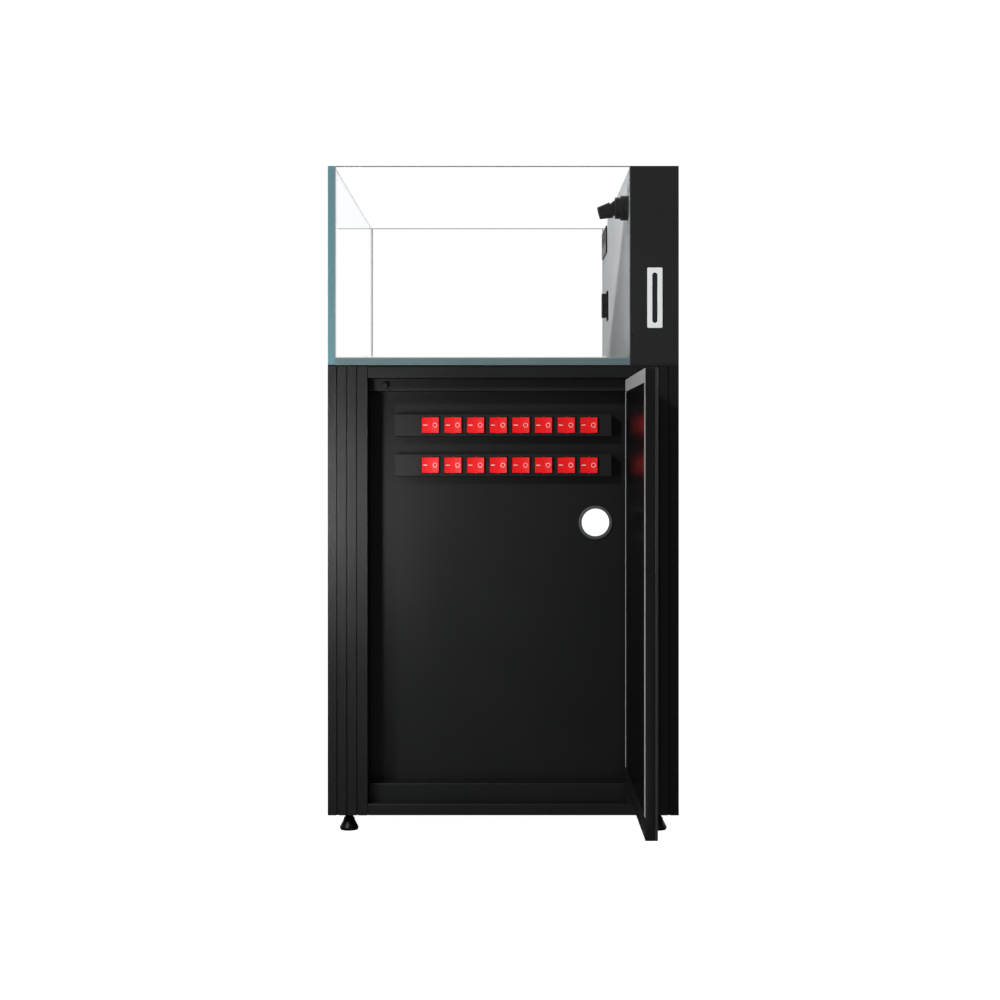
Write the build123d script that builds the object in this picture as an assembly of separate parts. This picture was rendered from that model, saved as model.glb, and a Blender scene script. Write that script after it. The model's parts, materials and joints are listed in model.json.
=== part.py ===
from build123d import *
from math import sqrt
import os

# Aquarium on a stand: a rimless tank with a rear overflow box, on an aluminium-framed cabinet.
# Millimetres, +Z up, floor at z = 0. X runs across the width, with the front glass at -X and the
# overflow box at +X. Y runs along the length. Shapes are drawn with the near end plane at y = 0,
# and write() moves them by NEAR_END_Y, so that the origin lies under the middle of the whole object.

# ---- overall sizes ----
LENGTH = 900.0  # tank and stand, along Y
WIDTH = 600.0  # tank and stand, along X
STAND_HEIGHT = 797.0  # floor to the top of the stand
TANK_HEIGHT = 340.0  # outside, base glass included
FOOT_HEIGHT = 30.0  # floor to the underside of the frame

# ---- tank ----
GLASS = 12.0  # every pane and plate of the tank and of its overflow box
MAT = 3.0  # levelling mat between the stand and the tank
OVERFLOW_DEPTH = 83.0  # overflow box across X, from the display face of its wall to the back
SEAM = 4.0  # leg of a silicone fillet
WEIR_LENGTH = 165.0  # notch in the rear wall, along Y
WEIR_DROP = 55.0  # rim down to the weir edge
WEIR_END_LAND = 8.0  # rear wall left between the notch and the far end glass
COMB_SHEET = 3.0
COMB_BELOW = 15.0  # comb plate below the weir edge
COMB_TOOTH_HEIGHT = 40.0  # weir edge up to the tooth tips
COMB_PITCH = 10.0
COMB_SLOT = 5.0
BRACKET = (26.0, 2.0, 103.0)  # white slotted bracket on the near end plate: X, Y, Z
BRACKET_SLOT = (8.7, 86.0)
BRACKET_CORNER_R = 2.0
BRACKET_RISE = 63.0  # tank underside to the bracket's lower edge
BRACKET_INSET = 28.0  # back of the tank to the bracket's rear edge

# ---- return nozzle ----
NOZZLE_Y = 52.0  # near end plane to the nozzle axis
NOZZLE_DROP = 66.0  # rim down to the nozzle axis
NOZZLE_TILT = 15.0  # rest tilt, tip down
FLANGE_R = 21.5
FLANGE_T = 14.0
COLLAR_R = 18.5
COLLAR_T = 9.5
BALL_R = 15.0
BALL_INSET = 5.5  # ball centre behind the collar's mouth
NOZZLE_REACH = 35.0  # ball centre to the tip
NOZZLE_TIP_R = 10.5
NOZZLE_BORE_R = 7.0
NOZZLE_NECK_R = 11.0
NOZZLE_SKIRT_R = 14.0
NOZZLE_SKIRT_GAP = 6.5  # collar's mouth to the skirt, room for the tilt
SHANK_R = 16.5
SHANK_PROUD = 2.0  # shank and pipe end beyond the back nut
BACKNUT_R = 20.0
BACKNUT_T = 10.0

# ---- probe holder ----
PROBE_Y = 695.0
PROBE_RISE = 125.0  # tank underside to the holder's lower edge
PROBE_BASE = (3.5, 40.0, 60.0)
PROBE_BODY = (9.5, 28.0, 50.0)
PROBE_CORNER_R = 5.0

# ---- plumbing ----
PIPE_R = 12.5
PIPE_WALL = 2.0
PIPE_BEND = 30.0
RETURN_Y = 190.0  # return riser
DRAIN_BACK = 140.0  # far end plane to the drain
STANDPIPE_DROP = 80.0  # rim down to the top of the drain standpipe
BULKHEAD_FLANGE_R = 23.0
BULKHEAD_FLANGE_T = 6.0
BULKHEAD_R = 16.5
BULKHEAD_NUT_R = 22.0
BULKHEAD_NUT_T = 10.0
BULKHEAD_TAIL = 5.0  # threaded end below the nut
DRAIN_INLET = (90.0, 60.0)  # sump's rear side and far end to the drain's axis
VALVE_DROP = 147.0  # top of the stand down to the valve
VALVE_R = 22.0
VALVE_LENGTH = 60.0
BONNET_R = 13.0
BONNET_REACH = 44.0  # valve axis to the end of its bonnet
WHEEL_R = 26.0
WHEEL_T = 8.0
WHEEL_RIM = 6.0
WHEEL_GAP = 4.0  # bonnet to the handwheel
SPOKE_WIDTH = 6.0
SPOKE_RECESS = 2.0  # spoke behind each face of the rim
STEM_R = 4.0
STEM_SOCKET = 12.0  # depth of the stem's bore in the bonnet

# ---- stand frame ----
POST = 68.0
POST_WALL = 7.0
POST_FOOT_BLOCK = 24.0  # solid lower end of a post, which holds the foot's stem
GROOVES = 3
GROOVE_WIDTH = 4.0
GROOVE_DEPTH = 3.0
FACE_RAIL = (29.0, 20.0)  # depth, height
BEAM_TOP_HEIGHT = 41.0
BEAM_SILL_HEIGHT = 50.0
REAR_RAIL_DEPTH = 18.0
BEARER = 30.0
BEARER_PLACES = (0.36, 0.64)  # along the space between the posts
BOARD = 16.0  # top and base boards
PARTITION = 10.0
REAR_PANEL = 6.0
FAR_PANEL = 12.0
CUTOUT = (72.0, 85.0)  # service cut-out in the far end panel: X, Z
CUTOUT_CORNER_R = 12.0
CUTOUT_EDGE = 1.0  # panel left between the cut-out and the post
CUTOUT_DROP = 300.0  # top of the stand down to the middle of the cut-out

# ---- feet ----
STEM_FOOT_R = 7.5
BELL_R = 16.0
BELL_TOP_R = 9.0
BELL_HEIGHT = 21.0
BELL_RIM = 4.0  # upright edge round the bottom
BELL_WAIST = (11.0, 11.5)  # a point of the bell's curve: radius, height
STEM_IN_POST = 15.0
STEM_END_GAP = 0.5

# ---- doors ----
DOOR_CORE = 15.0
DOOR_SKIN = 4.0
DOOR_CHAMFER = 1.0
DOOR_TOP_GAP = 2.0
DOOR_SILL_LAP = 2.0  # door below the top of the sill
DOOR_HINGE_GAP = 5.0
DOOR_EDGE_GAP = 3.0
PIVOT_INSET = 8.0  # pivot axis from the hinge edge
PIVOT_R = 4.0
PIVOT_DEPTH = 15.0  # bore inside the door
PIVOT_END_GAP = 1.0
PIVOT_BLOCK = 14.0
PIVOT_BLOCK_GAP = 2.0
LINER = 3.0
LINER_SINK = 0.3
LINER_BORDER = 21.0
LINER_BORDER_LOW = 34.0
LATCH_R = 5.0
LATCH_INSET = 25.0  # door's free edge to the latch axis
END_DOOR_OPEN = 90.0  # the end door's angle at rest

# ---- power boards ----
BOARD_DROPS = (99.5, 168.8)  # top of the stand down to the middle of each board
BOARD_HEIGHT = 39.2
BOARD_DEPTH = 24.0
BOARD_CORNER_R = 1.5
ROCKERS = 8
ROCKER_PITCH = 39.2
ROCKER_OFFSET = 11.2  # middle of the row from the middle of the board, along X
BOARD_MARGIN = (61.5, 39.0)  # board ends beyond the first and last rocker centres
ROCKER = (30.0, 27.0)  # width, height
ROCKER_TILT = 8.0  # each way from the middle
ROCKER_RISE = 2.6
ROCKER_VALLEY = 0.5
ROCKER_BACK = 6.0
ROCKER_TAPER = 1.5
BEZEL_WALL = 1.5
BEZEL_PROUD = 1.0
BEZEL_DEPTH = 11.0
TRUNNION_R = 1.5
TRUNNION_REACH = 1.2

# ---- grommet ----
GROMMET_INSET = 71.0  # post to the grommet's axis
GROMMET_DROP = 269.0  # top of the stand down to the grommet's axis
GROMMET_BORE_R = 24.25
GROMMET_FLANGE_R = 29.5
GROMMET_FLANGE_T = 3.0
GROMMET_WALL = 2.75

# ---- sump and pump ----
SUMP = (350.0, 500.0, 350.0)
SUMP_GLASS = 8.0
SUMP_FRONT_GAP = 32.0  # inside of the front beam to the sump
SUMP_NEAR_GAP = 42.0  # partition to the sump
SUMP_CHAMBERS = (150.0, 380.0)  # baffle places from the near end of the sump
BAFFLE_DROP = 60.0
PUMP = (80.0, 100.0, 80.0)
PUMP_CORNER_R = 18.0
PUMP_INSET = 60.0  # sump's rear side to the pump's axis
PUMP_RISER = 24.0
OUTLET_WALL = 5.0
OUTLET_FLOOR = 4.0
PIPE_LEVEL = 25.0  # pipe axis above the rim of the sump

# ---- clearances ----
LOOSE = 0.3  # soft or curved neighbours on different bodies
RUNNING = 0.05  # radial, pin in bore
FIT = 0.2  # radial, fixed fittings in their holes
ROCKER_GAP = 0.6
PLUMBING_GAP = 4.0  # boards to the bulkhead nuts
NUT_GAP = 1.0  # mat to the bulkhead nuts
OVER = 1.0  # how far a cutting shape passes a face, or one fused shape enters another

# ---- what follows from them ----
HALF_W = WIDTH / 2
TANK_Z = STAND_HEIGHT + MAT
RIM_Z = TANK_Z + TANK_HEIGHT
FLOOR_Z = TANK_Z + GLASS  # inside floor of the tank
WALL_X = HALF_W - OVERFLOW_DEPTH  # display face of the rear wall
WALL_BACK_X = WALL_X + GLASS
BACK_X = HALF_W - GLASS
PIPE_X = (WALL_BACK_X + BACK_X) / 2
INNER_X = HALF_W - POST  # inside faces of the posts
REAR_INNER_X = HALF_W - REAR_RAIL_DEPTH
FAR_POST_Y = LENGTH - POST
TOP_RAIL_Z = STAND_HEIGHT - FACE_RAIL[1]
TOP_BEAM_Z = STAND_HEIGHT - BEAM_TOP_HEIGHT
LOW_RAIL_Z = FOOT_HEIGHT + FACE_RAIL[1]
SILL_Z = FOOT_HEIGHT + BEAM_SILL_HEIGHT
BOARD_TOP_Z = STAND_HEIGHT - BOARD
BOARD_TOP_X = min(INNER_X, PIPE_X - BULKHEAD_NUT_R - PLUMBING_GAP)  # rear edge of the top board
BOARD_LOW_Z = SILL_Z - BOARD
PARTITION_Y = POST + PARTITION
DRAIN_Y = LENGTH - DRAIN_BACK
WEIR_Z = RIM_Z - WEIR_DROP
WEIR_Y1 = LENGTH - GLASS - WEIR_END_LAND
WEIR_Y0 = WEIR_Y1 - WEIR_LENGTH
NOZZLE_Z = RIM_Z - NOZZLE_DROP
BALL_X = WALL_X - FLANGE_T - COLLAR_T + BALL_INSET
DOOR = DOOR_CORE + DOOR_SKIN
DOOR_Z0 = SILL_Z - DOOR_SILL_LAP
DOOR_Z1 = TOP_RAIL_Z - DOOR_TOP_GAP
END_DOOR_W = 2 * INNER_X - DOOR_HINGE_GAP - DOOR_EDGE_GAP
FRONT_DOOR_W = (FAR_POST_Y - POST - DOOR_EDGE_GAP) / 2 - DOOR_HINGE_GAP
END_PIVOT = (INNER_X - DOOR_HINGE_GAP - PIVOT_INSET, DOOR / 2)
FRONT_PIVOT = (DOOR / 2 - HALF_W, POST + DOOR_HINGE_GAP + PIVOT_INSET)
BOARD_FACE_Y = POST - BOARD_DEPTH
GROMMET_X = INNER_X - GROMMET_INSET
GROMMET_Z = STAND_HEIGHT - GROMMET_DROP
VALVE_Z = STAND_HEIGHT - VALVE_DROP
CUTOUT_Z = STAND_HEIGHT - CUTOUT_DROP
SUMP_X0 = SUMP_FRONT_GAP - INNER_X
SUMP_Y0 = PARTITION_Y + SUMP_NEAR_GAP
PIPE_RUN_Z = SILL_Z + SUMP[2] + PIPE_LEVEL
PUMP_X = SUMP_X0 + SUMP[0] - PUMP_INSET
DOOR_REACH = END_DOOR_W - PIVOT_INSET - DOOR / 2  # open end door beyond the near end plane
NEAR_END_Y = (DOOR_REACH - LENGTH) / 2


def block(x0, x1, y0, y1, z0, z1):
    """A box between two corners."""
    return Pos((x0 + x1) / 2, (y0 + y1) / 2, (z0 + z1) / 2) * Box(x1 - x0, y1 - y0, z1 - z0)


def rod_z(x, y, z0, z1, r):
    """An upright cylinder."""
    return Pos(x, y, (z0 + z1) / 2) * Cylinder(r, z1 - z0)


def rod_y(x, z, y0, y1, r):
    """A cylinder along the length."""
    return Pos(x, (y0 + y1) / 2, z) * Rot(90, 0, 0) * Cylinder(r, y1 - y0)


def rod_x(y, z, x0, x1, r):
    """A cylinder across the width."""
    return Pos((x0 + x1) / 2, y, z) * Rot(0, 90, 0) * Cylinder(r, x1 - x0)


def solids_of(shapes):
    """Every solid in a list of shapes."""
    return [solid for shape in shapes for solid in shape.solids()]


def write(name, *shapes):
    """Write one node, moved from the near-end frame to the object's own."""
    moved = [Pos(0, NEAR_END_Y, 0) * solid for solid in solids_of(shapes)]
    whole = moved[0] if len(moved) == 1 else Compound(moved)
    export_step(whole, f"parts/{name}.step")


# ---- tank ----


def tank_panes():
    """Front, base and end glasses of the display."""
    write("front_glass", block(-HALF_W, -HALF_W + GLASS, 0, LENGTH, TANK_Z, RIM_Z))
    write("base_glass", block(-HALF_W + GLASS, WALL_X, 0, LENGTH, TANK_Z, FLOOR_Z))
    ends = [block(-HALF_W + GLASS, WALL_X, y, y + GLASS, FLOOR_Z, RIM_Z) for y in (0, LENGTH - GLASS)]
    write("end_glasses", *ends)


def rear_wall():
    """Wall between the display and the overflow box, with its weir notch and nozzle hole."""
    wall = block(WALL_X, WALL_BACK_X, GLASS, LENGTH - GLASS, FLOOR_Z, RIM_Z)
    notch = block(WALL_X - OVER, WALL_BACK_X + OVER, WEIR_Y0, WEIR_Y1, WEIR_Z, RIM_Z + OVER)
    hole = rod_x(NOZZLE_Y, NOZZLE_Z, WALL_X - OVER, WALL_BACK_X + OVER, SHANK_R + FIT)
    write("rear_wall", wall - notch - hole)


def bead(length):
    """A silicone fillet along +Z, filling the corner between +X and +Y faces at the origin."""
    return extrude(make_face(Polyline((0, 0), (SEAM, 0), (0, SEAM), close=True)), length)


def silicone_seams():
    """Fillets in the inside corners of the display, fused where they meet."""
    x0, x1 = -HALF_W + GLASS, WALL_X
    y0, y1 = GLASS, LENGTH - GLASS
    rise = RIM_Z - FLOOR_Z
    corners = [(x0, y0, 0), (x1, y0, 90), (x1, y1, 180), (x0, y1, 270)]
    seams = [Pos(x, y, FLOOR_Z) * Rot(0, 0, turn) * bead(rise) for x, y, turn in corners]
    along_x = [Pos(x0, y, FLOOR_Z) * Rot(0, 90, 0) * Rot(0, 0, turn) * bead(x1 - x0)
               for y, turn in ((y0, 90), (y1, 180))]
    along_y = [Pos(x, y0, FLOOR_Z) * Rot(-90, 0, 0) * Rot(0, 0, turn) * bead(y1 - y0)
               for x, turn in ((x0, 270), (x1, 180))]
    seams = seams + along_x + along_y
    whole = seams[0].fuse(*seams[1:])
    write("silicone_seams", whole)


def overflow_box():
    """Black end plates, floor and back of the overflow box."""
    ends = [block(WALL_X, HALF_W, y, y + GLASS, TANK_Z, RIM_Z) for y in (0, LENGTH - GLASS)]
    write("overflow_end_plates", *ends)
    write("overflow_back_panel", block(BACK_X, HALF_W, GLASS, LENGTH - GLASS, FLOOR_Z, RIM_Z))
    floor = block(WALL_X, HALF_W, GLASS, LENGTH - GLASS, TANK_Z, FLOOR_Z)
    for y in (RETURN_Y, DRAIN_Y):
        floor -= rod_z(PIPE_X, y, TANK_Z - OVER, FLOOR_Z + OVER, BULKHEAD_R + FIT)
    write("overflow_floor", floor)


def slotted_bracket():
    """Flat white plate with one round-ended upright slot."""
    wide, thick, tall = BRACKET
    x1 = HALF_W - BRACKET_INSET
    z0 = TANK_Z + BRACKET_RISE
    plate = block(x1 - wide, x1, -thick, 0, z0, z0 + tall)
    plate = fillet(plate.edges().filter_by(Axis.Y), BRACKET_CORNER_R)
    slot = Plane.XZ * SlotOverall(BRACKET_SLOT[1], BRACKET_SLOT[0], rotation=90)
    cut = Pos(x1 - wide / 2, thick, z0 + tall / 2) * extrude(slot, 2 * thick, both=True)
    write("slotted_bracket", plate - cut)


def weir_comb():
    """Comb that hangs on the weir edge as a saddle: toothed front plate, bridge and back flange."""
    y0, y1 = WEIR_Y0 + LOOSE, WEIR_Y1 - LOOSE
    x1 = WALL_X - LOOSE
    seat = WEIR_Z + LOOSE
    front = block(x1 - COMB_SHEET, x1, y0, y1, WEIR_Z - COMB_BELOW, WEIR_Z + COMB_TOOTH_HEIGHT)
    back = WALL_BACK_X + LOOSE
    bridge = block(x1 - COMB_SHEET, back + COMB_SHEET, y0, y1, seat, seat + COMB_SHEET)
    flange = block(back, back + COMB_SHEET, y0, y1, WEIR_Z - COMB_BELOW, seat + COMB_SHEET)
    comb = front + bridge + flange
    count = int((y1 - y0 - COMB_PITCH) / COMB_PITCH)
    middle = (y0 + y1) / 2
    for i in range(count):
        y = middle + (i - (count - 1) / 2) * COMB_PITCH
        z0 = seat + 2 * COMB_SHEET
        z1 = WEIR_Z + COMB_TOOTH_HEIGHT + OVER
        comb -= block(x1 - COMB_SHEET - OVER, x1 + OVER, y - COMB_SLOT / 2, y + COMB_SLOT / 2, z0, z1)
    write("weir_comb", comb)


def turned(outline, arcs):
    """Solid of revolution about X from an outline of (x, r) points; arcs maps a corner to its middle."""
    edges = []
    for i, start in enumerate(outline):
        end = outline[(i + 1) % len(outline)]
        edges.append(ThreePointArc(start, arcs[i], end) if i in arcs else Line(start, end))
    return revolve(make_face(Plane.XZ * Curve(edges)), Axis.X)


def return_bulkhead():
    """Flange and ball socket on the display side, shank through the wall, back nut behind it."""
    socket_r = BALL_R + LOOSE
    bore_r = PIPE_R - PIPE_WALL
    mouth = BALL_INSET
    flange_front = mouth - COLLAR_T
    wall_front = flange_front - FLANGE_T
    end = wall_front - GLASS - BACKNUT_T - SHANK_PROUD
    seat = -sqrt(socket_r**2 - bore_r**2)
    outline = [(mouth, sqrt(socket_r**2 - mouth**2)), (seat, bore_r), (end, bore_r), (end, SHANK_R)]
    outline += [(wall_front, SHANK_R), (wall_front, FLANGE_R), (flange_front, FLANGE_R)]
    outline += [(flange_front, COLLAR_R), (mouth, COLLAR_R)]
    body = Rot(0, 0, 180) * turned(outline, {0: (0, socket_r)})
    nut = rod_x(NOZZLE_Y, NOZZLE_Z, WALL_BACK_X, WALL_BACK_X + BACKNUT_T, BACKNUT_R)
    nut_end = WALL_BACK_X + BACKNUT_T + OVER
    nut -= rod_x(NOZZLE_Y, NOZZLE_Z, WALL_BACK_X - OVER, nut_end, SHANK_R + FIT / 2)
    write("return_bulkhead", Pos(BALL_X, NOZZLE_Y, NOZZLE_Z) * body, nut)


def return_nozzle():
    """Eyeball and tapered spout in one piece, tilted down about the ball's centre."""
    neck_x = sqrt(BALL_R**2 - NOZZLE_NECK_R**2)
    skirt = BALL_INSET + NOZZLE_SKIRT_GAP
    back = -sqrt(BALL_R**2 - NOZZLE_BORE_R**2)
    outline = [(back, NOZZLE_BORE_R), (neck_x, NOZZLE_NECK_R)]
    outline += [(skirt, NOZZLE_NECK_R), (skirt, NOZZLE_SKIRT_R)]
    outline += [(NOZZLE_REACH, NOZZLE_TIP_R), (NOZZLE_REACH, NOZZLE_BORE_R)]
    nozzle = turned(outline, {0: (0, BALL_R)})
    tilted = Rot(0, -NOZZLE_TILT, 0) * Rot(0, 0, 180) * nozzle
    write("return_nozzle", Pos(BALL_X, NOZZLE_Y, NOZZLE_Z) * tilted)


def probe_holder():
    """Base pad and rounded body on the rear wall."""
    z0 = TANK_Z + PROBE_RISE
    pad_t, pad_w, pad_h = PROBE_BASE
    thick, wide, tall = PROBE_BODY
    x1 = WALL_X - pad_t
    pad = block(x1, WALL_X, PROBE_Y - pad_w / 2, PROBE_Y + pad_w / 2, z0, z0 + pad_h)
    low = z0 + (pad_h - tall) / 2
    body = block(x1 - thick, x1, PROBE_Y - wide / 2, PROBE_Y + wide / 2, low, low + tall)
    body = fillet(body.edges().filter_by(Axis.X), PROBE_CORNER_R)
    write("probe_holder", pad + body)


# ---- plumbing ----


def pipe(points, bends):
    """A hollow pipe along straight runs joined by tangent arcs."""
    path = FilletPolyline(*points, radius=bends)
    start = Plane(origin=path @ 0, z_dir=path % 0)
    outer = sweep(start * Circle(PIPE_R), path)
    inner = sweep(start * Circle(PIPE_R - PIPE_WALL), path)
    return outer - inner


def straight_pipe(x, y, z0, z1):
    """An upright hollow pipe."""
    return rod_z(x, y, z0, z1, PIPE_R) - rod_z(x, y, z0 - OVER, z1 + OVER, PIPE_R - PIPE_WALL)


def bulkhead_fittings():
    """Two flanged fittings through the overflow floor, each with its nut below."""
    pieces = []
    for y in (RETURN_Y, DRAIN_Y):
        nut_z = TANK_Z - BULKHEAD_NUT_T
        body = rod_z(PIPE_X, y, FLOOR_Z, FLOOR_Z + BULKHEAD_FLANGE_T, BULKHEAD_FLANGE_R)
        tail_z = nut_z - BULKHEAD_TAIL
        body += rod_z(PIPE_X, y, tail_z, FLOOR_Z + OVER, BULKHEAD_R)
        body -= rod_z(PIPE_X, y, tail_z - OVER, FLOOR_Z + BULKHEAD_FLANGE_T + OVER, PIPE_R + FIT / 2)
        nut = rod_z(PIPE_X, y, nut_z, TANK_Z, BULKHEAD_NUT_R)
        nut -= rod_z(PIPE_X, y, nut_z - OVER, TANK_Z + OVER, BULKHEAD_R + FIT / 2)
        pieces += [body, nut]
    write("bulkhead_fittings", *pieces)


def drain_pipe():
    """Standpipe down to the gate valve, and the run from the valve to the sump's inlet chamber."""
    top_z = RIM_Z - STANDPIPE_DROP
    riser = straight_pipe(PIPE_X, DRAIN_Y, VALVE_Z + VALVE_LENGTH / 2, top_z)
    inlet_x = SUMP_X0 + SUMP[0] - DRAIN_INLET[0]
    inlet_y = SUMP_Y0 + SUMP[1] - DRAIN_INLET[1]
    route = [(PIPE_X, DRAIN_Y, VALVE_Z - VALVE_LENGTH / 2), (PIPE_X, DRAIN_Y, PIPE_RUN_Z)]
    route += [(inlet_x, DRAIN_Y, PIPE_RUN_Z), (inlet_x, inlet_y, PIPE_RUN_Z)]
    route += [(inlet_x, inlet_y, SILL_Z + SUMP[2] / 2)]
    write("drain_pipe", riser, pipe(route, PIPE_BEND))


def return_pipe():
    """From the pump up through the overflow box and along to the return fitting."""
    pump_top = SILL_Z + SUMP_GLASS + PUMP[2] + PUMP_RISER
    route = [(PUMP_X, RETURN_Y, pump_top), (PUMP_X, RETURN_Y, PIPE_RUN_Z)]
    route += [(PIPE_X, RETURN_Y, PIPE_RUN_Z), (PIPE_X, RETURN_Y, NOZZLE_Z)]
    pipe_end = WALL_BACK_X + BACKNUT_T + SHANK_PROUD
    route += [(PIPE_X, NOZZLE_Y, NOZZLE_Z), (pipe_end, NOZZLE_Y, NOZZLE_Z)]
    end_bend = PIPE_X - pipe_end - 2 * OVER
    write("return_pipe", pipe(route, [PIPE_BEND, PIPE_BEND, PIPE_BEND, end_bend]))


def gate_valve():
    """Valve body with its bonnet facing the front, and the handwheel on its stem."""
    z0, z1 = VALVE_Z - VALVE_LENGTH / 2, VALVE_Z + VALVE_LENGTH / 2
    bonnet_x = PIPE_X - BONNET_REACH
    body = rod_z(PIPE_X, DRAIN_Y, z0, z1, VALVE_R)
    body += rod_x(DRAIN_Y, VALVE_Z, bonnet_x, PIPE_X, BONNET_R)
    body -= rod_z(PIPE_X, DRAIN_Y, z0 - OVER, z1 + OVER, PIPE_R - PIPE_WALL)
    body -= rod_x(DRAIN_Y, VALVE_Z, bonnet_x - OVER, bonnet_x + STEM_SOCKET, STEM_R + RUNNING)
    write("valve_body", body)
    wheel_x = bonnet_x - WHEEL_T - WHEEL_GAP
    rim = rod_x(DRAIN_Y, VALVE_Z, wheel_x, wheel_x + WHEEL_T, WHEEL_R)
    rim -= rod_x(DRAIN_Y, VALVE_Z, wheel_x - OVER, wheel_x + WHEEL_T + OVER, WHEEL_R - WHEEL_RIM)
    hub = rod_x(DRAIN_Y, VALVE_Z, wheel_x, wheel_x + WHEEL_T, 2 * STEM_R)
    stem = rod_x(DRAIN_Y, VALVE_Z, wheel_x, bonnet_x + STEM_SOCKET - OVER, STEM_R)
    reach = WHEEL_R - WHEEL_RIM / 2
    spoke_x = (wheel_x + SPOKE_RECESS, wheel_x + WHEEL_T - SPOKE_RECESS)
    spoke = block(*spoke_x, -SPOKE_WIDTH / 2, SPOKE_WIDTH / 2, 0, reach)
    spokes = [Pos(0, DRAIN_Y, VALVE_Z) * Rot(turn, 0, 0) * spoke for turn in (0, 90, 180, 270)]
    wheel = rim.fuse(hub, stem, *spokes)
    write("valve_handwheel", wheel)


# ---- stand ----


def levelling_mat():
    """Foam sheet under the whole tank, open round the bulkhead nuts."""
    mat = block(-HALF_W, HALF_W, 0, LENGTH, STAND_HEIGHT, TANK_Z)
    for y in (RETURN_Y, DRAIN_Y):
        mat -= rod_z(PIPE_X, y, STAND_HEIGHT - OVER, TANK_Z + OVER, BULKHEAD_NUT_R + NUT_GAP)
    write("levelling_mat", mat)


def post_centres():
    """The four posts, near front first."""
    offset = HALF_W - POST / 2
    return [(x, y) for y in (POST / 2, LENGTH - POST / 2) for x in (-offset, offset)]


def corner_post():
    """Grooved hollow extrusion with a solid foot block, centred on its own axis."""
    half = POST / 2
    post = block(-half, half, -half, half, FOOT_HEIGHT, STAND_HEIGHT)
    pitch = POST / (GROOVES + 1)
    for i in range(GROOVES):
        place = (i - (GROOVES - 1) / 2) * pitch
        cut = block(place - GROOVE_WIDTH / 2, place + GROOVE_WIDTH / 2, -half, GROOVE_DEPTH - half,
                    FOOT_HEIGHT, STAND_HEIGHT)
        for turn in (0, 90, 180, 270):
            post -= Rot(0, 0, turn) * cut
    bore = half - POST_WALL
    post -= block(-bore, bore, -bore, bore, FOOT_HEIGHT + POST_FOOT_BLOCK, STAND_HEIGHT + OVER)
    socket_top = FOOT_HEIGHT + STEM_IN_POST + STEM_END_GAP
    return post - rod_z(0, 0, FOOT_HEIGHT - OVER, socket_top, STEM_FOOT_R + RUNNING)


def frame():
    """Posts, structural beams and the face rails that hide them."""
    post = corner_post()
    write("corner_posts", *[Pos(x, y, 0) * post for x, y in post_centres()])
    deep, _ = FACE_RAIL
    ends = [(deep, POST), (FAR_POST_Y, LENGTH - deep)]
    for name, z0, z1 in (("top_beams", TOP_BEAM_Z, STAND_HEIGHT), ("bottom_beams", FOOT_HEIGHT, SILL_Z)):
        beams = [block(-INNER_X, INNER_X, y0, y1, z0, z1) for y0, y1 in ends]
        beams.append(block(-HALF_W + deep, -INNER_X, POST, FAR_POST_Y, z0, z1))
        beams.append(block(REAR_INNER_X, HALF_W, POST, FAR_POST_Y, z0, z1))
        beams += bearers(BOARD_TOP_Z if z1 == STAND_HEIGHT else BOARD_LOW_Z)
        write(name, *beams)
    rails = []
    for z0, z1 in ((TOP_RAIL_Z, STAND_HEIGHT), (FOOT_HEIGHT, LOW_RAIL_Z)):
        rails += [block(-INNER_X, INNER_X, y, y + deep, z0, z1) for y in (0, LENGTH - deep)]
        rails.append(block(-HALF_W, -HALF_W + deep, POST, FAR_POST_Y, z0, z1))
    write("face_rails", *rails)


def bearers(top):
    """Two cross bars under a board."""
    span = FAR_POST_Y - POST
    places = [POST + share * span for share in BEARER_PLACES]
    return [block(-INNER_X, REAR_INNER_X, y - BEARER / 2, y + BEARER / 2, top - BEARER, top)
            for y in places]


def boards():
    """Top and base boards; the top one stops short of the slot that the plumbing passes."""
    write("top_board", block(-INNER_X, BOARD_TOP_X, POST, FAR_POST_Y, BOARD_TOP_Z, STAND_HEIGHT))
    write("base_board", block(-INNER_X, REAR_INNER_X, POST, FAR_POST_Y, BOARD_LOW_Z, SILL_Z))


def partition():
    """Panel behind the end door, with the hole for the grommet."""
    panel = block(-INNER_X, INNER_X, POST, PARTITION_Y, SILL_Z, BOARD_TOP_Z)
    hole_r = GROMMET_BORE_R + GROMMET_WALL + FIT
    hole = rod_y(GROMMET_X, GROMMET_Z, POST - OVER, PARTITION_Y + OVER, hole_r)
    write("partition_panel", panel - hole)


def cable_grommet():
    """Flanged ring in the partition."""
    ring = rod_y(GROMMET_X, GROMMET_Z, POST - GROMMET_FLANGE_T, POST, GROMMET_FLANGE_R)
    front = ring.edges().filter_by(GeomType.CIRCLE).sort_by(Axis.Y)[0]
    ring = fillet(front, GROMMET_FLANGE_T / 2)
    ring += rod_y(GROMMET_X, GROMMET_Z, POST - OVER, PARTITION_Y, GROMMET_BORE_R + GROMMET_WALL)
    front_y = POST - GROMMET_FLANGE_T
    ring -= rod_y(GROMMET_X, GROMMET_Z, front_y - OVER, PARTITION_Y + OVER, GROMMET_BORE_R)
    write("cable_grommet", ring)


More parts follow.
